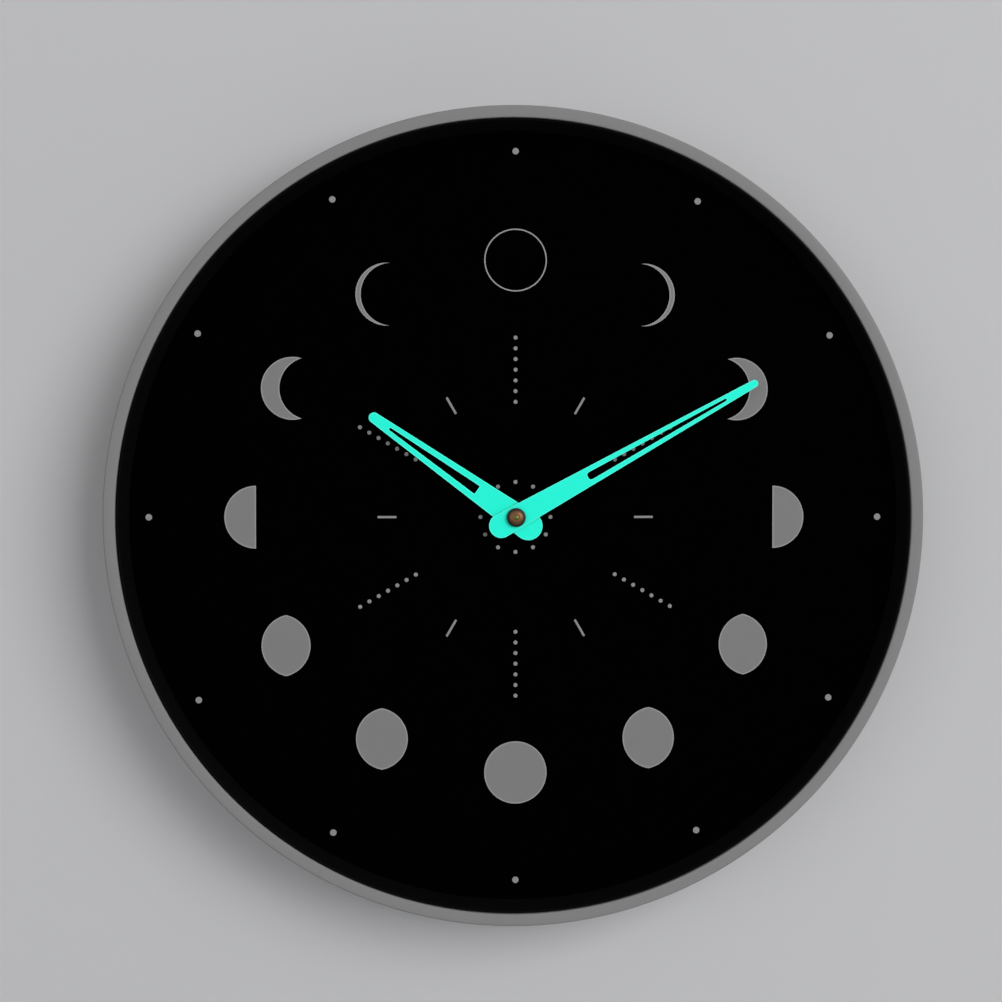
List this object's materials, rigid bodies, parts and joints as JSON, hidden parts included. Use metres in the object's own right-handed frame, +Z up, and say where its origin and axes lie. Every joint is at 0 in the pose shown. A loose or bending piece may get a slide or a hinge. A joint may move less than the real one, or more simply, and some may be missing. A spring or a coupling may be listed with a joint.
{
  "type": "moon phase wall clock",
  "caption": "Round battery wall clock with a grey rim, a black dial of raised moon phases, slotted turquoise hands, a geared quartz movement and a keyhole hanger.",
  "frame": {"origin": "the nail's seat at the top of the hanger's keyhole, carried back to the wall's plane", "axes": "+Z up, +Y into the wall, so the dial faces -Y; +X is the dial's right as seen from the front"},
  "size_m": [0.3, 0.0349, 0.3],
  "materials": {
    "rim_grey": "satin",
    "bezel_black": "satin",
    "dial_black": "matte, with grey marks",
    "moulded_black": "moulded",
    "steel": "zinc plated",
    "black_steel": "blackened",
    "rubber": "matte",
    "hand_turquoise": "matte",
    "brass": "turned",
    "movement_grey": "moulded",
    "lid_grey": "moulded",
    "white_plastic": "moulded acetal",
    "magnet": "sintered",
    "copper": "enamelled copper wire",
    "board_green": "lacquered",
    "epoxy": "glossy",
    "contact": "nickel plated",
    "battery": "plain sleeve"
  },
  "bodies": {
    "case": {"case_ring": "rim_grey", "bezel_ring": "bezel_black", "dial": "dial_black", "back_plate": "moulded_black", "hanger_plate": "steel", "hanger_screw_left": "steel", "hanger_screw_right": "steel", "rubber_washer": "rubber", "fixing_washer": "black_steel", "fixing_nut": "black_steel", "movement_case": "movement_grey", "movement_lid": "lid_grey", "middle_plate": "white_plastic", "stator": "steel", "coil_core": "steel", "coil_bobbin": "white_plastic", "coil_winding": "copper", "circuit_board": "board_green", "chip": "epoxy", "quartz_crystal": "steel", "contact_plus": "contact", "contact_minus": "contact"},
    "minute": {"minute_pipe": "brass", "minute_hand": "hand_turquoise", "cap_nut": "brass"},
    "hour": {"hour_wheel": "white_plastic", "hour_hand": "hand_turquoise"},
    "motion": {"motion_wheel": "white_plastic", "setting_knob": "white_plastic"},
    "rotor": {"rotor_pinion": "white_plastic", "rotor_magnet": "magnet"},
    "intermediate": {"intermediate_wheel": "white_plastic"},
    "second": {"second_wheel": "white_plastic"},
    "third": {"third_wheel": "white_plastic"},
    "centre": {"centre_wheel": "white_plastic"},
    "battery": {"battery": "battery"}
  },
  "joints": [
    {"name": "minute_spin", "type": "hinge", "parent": "case", "child": "minute", "pos_m": [0, -0.02, -0.112], "axis": [0, 1, 0], "continuous": true},
    {"name": "hour_spin", "type": "hinge", "parent": "case", "child": "hour", "pos_m": [0, -0.02, -0.112], "axis": [0, 1, 0], "continuous": true},
    {"name": "motion_spin", "type": "hinge", "parent": "case", "child": "motion", "pos_m": [-0.011, -0.02, -0.112], "axis": [0, 1, 0], "continuous": true},
    {"name": "rotor_spin", "type": "hinge", "parent": "case", "child": "rotor", "pos_m": [0.0038, -0.01, -0.09582], "axis": [0, 1, 0], "continuous": true},
    {"name": "intermediate_spin", "type": "hinge", "parent": "case", "child": "intermediate", "pos_m": [0, -0.01, -0.1024], "axis": [0, 1, 0], "continuous": true},
    {"name": "second_spin", "type": "hinge", "parent": "case", "child": "second", "pos_m": [0, -0.01, -0.112], "axis": [0, 1, 0], "continuous": true},
    {"name": "third_spin", "type": "hinge", "parent": "case", "child": "third", "pos_m": [0.0095, -0.01, -0.112], "axis": [0, 1, 0], "continuous": true},
    {"name": "centre_spin", "type": "hinge", "parent": "case", "child": "centre", "pos_m": [0, -0.01, -0.112], "axis": [0, 1, 0], "continuous": true},
    {"name": "battery_lift", "type": "slide", "parent": "case", "child": "battery", "axis": [0, 1, 0], "range_m": [0, 0.02]}
  ],
  "couplings": [
    {"joint": "hour_spin", "follows": "minute_spin", "ratio": 0.083333},
    {"joint": "motion_spin", "follows": "minute_spin", "ratio": -0.33333},
    {"joint": "intermediate_spin", "follows": "rotor_spin", "ratio": -0.16667},
    {"joint": "second_spin", "follows": "rotor_spin", "ratio": 0.033333},
    {"joint": "third_spin", "follows": "rotor_spin", "ratio": -0.0041667},
    {"joint": "centre_spin", "follows": "rotor_spin", "ratio": 0.00055556}
  ]
}
